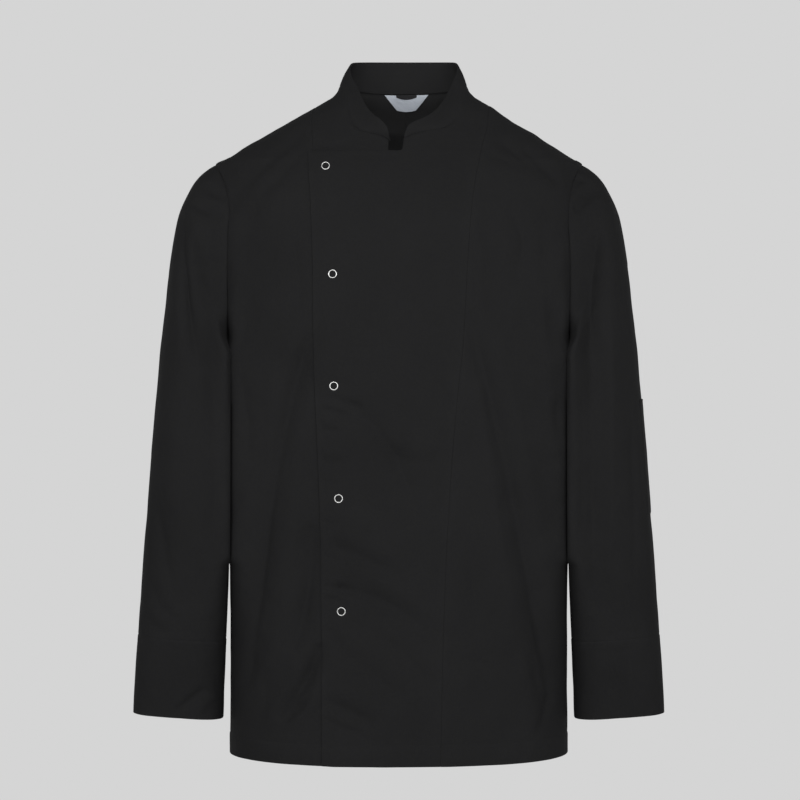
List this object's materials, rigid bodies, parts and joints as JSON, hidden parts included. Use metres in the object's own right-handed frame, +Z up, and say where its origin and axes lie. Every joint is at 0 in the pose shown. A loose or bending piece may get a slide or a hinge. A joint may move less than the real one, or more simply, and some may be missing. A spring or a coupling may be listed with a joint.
{
  "type": "chef jacket",
  "caption": "Double-breasted chef jacket with a stand collar, long cuffed sleeves and press studs down an overlapped front, shaped as worn with no wearer.",
  "frame": {"origin": "middle of the neck, level with the collar seam at the shoulders", "axes": "+Z up along the length of the jacket, -Y the front, +X the wearer's left"},
  "size_m": [0.6134, 0.2486, 0.8122],
  "materials": {
    "twill": "matte black polycotton twill",
    "label_cloth": "smooth white woven tape",
    "tape": "narrow black woven tape",
    "stud_metal": "bright nickel-plated ring"
  },
  "bodies": {
    "root": {"back_left": "twill", "back_right": "twill", "side_front_left": "twill", "side_front_right": "twill", "upper_front_left": "twill", "lower_front_right": "twill", "collar": "twill", "sleeve_left": "twill", "sleeve_right": "twill", "cuff_left": "twill", "cuff_right": "twill", "sleeve_pocket": "twill", "label": "label_cloth", "hanging_loop": "tape", "stud_1_ring": "stud_metal", "stud_1_socket": "stud_metal", "stud_2_ring": "stud_metal", "stud_2_socket": "stud_metal", "stud_3_ring": "stud_metal", "stud_3_socket": "stud_metal", "stud_4_ring": "stud_metal", "stud_4_socket": "stud_metal", "stud_5_ring": "stud_metal", "stud_5_socket": "stud_metal"}
  },
  "joints": []
}
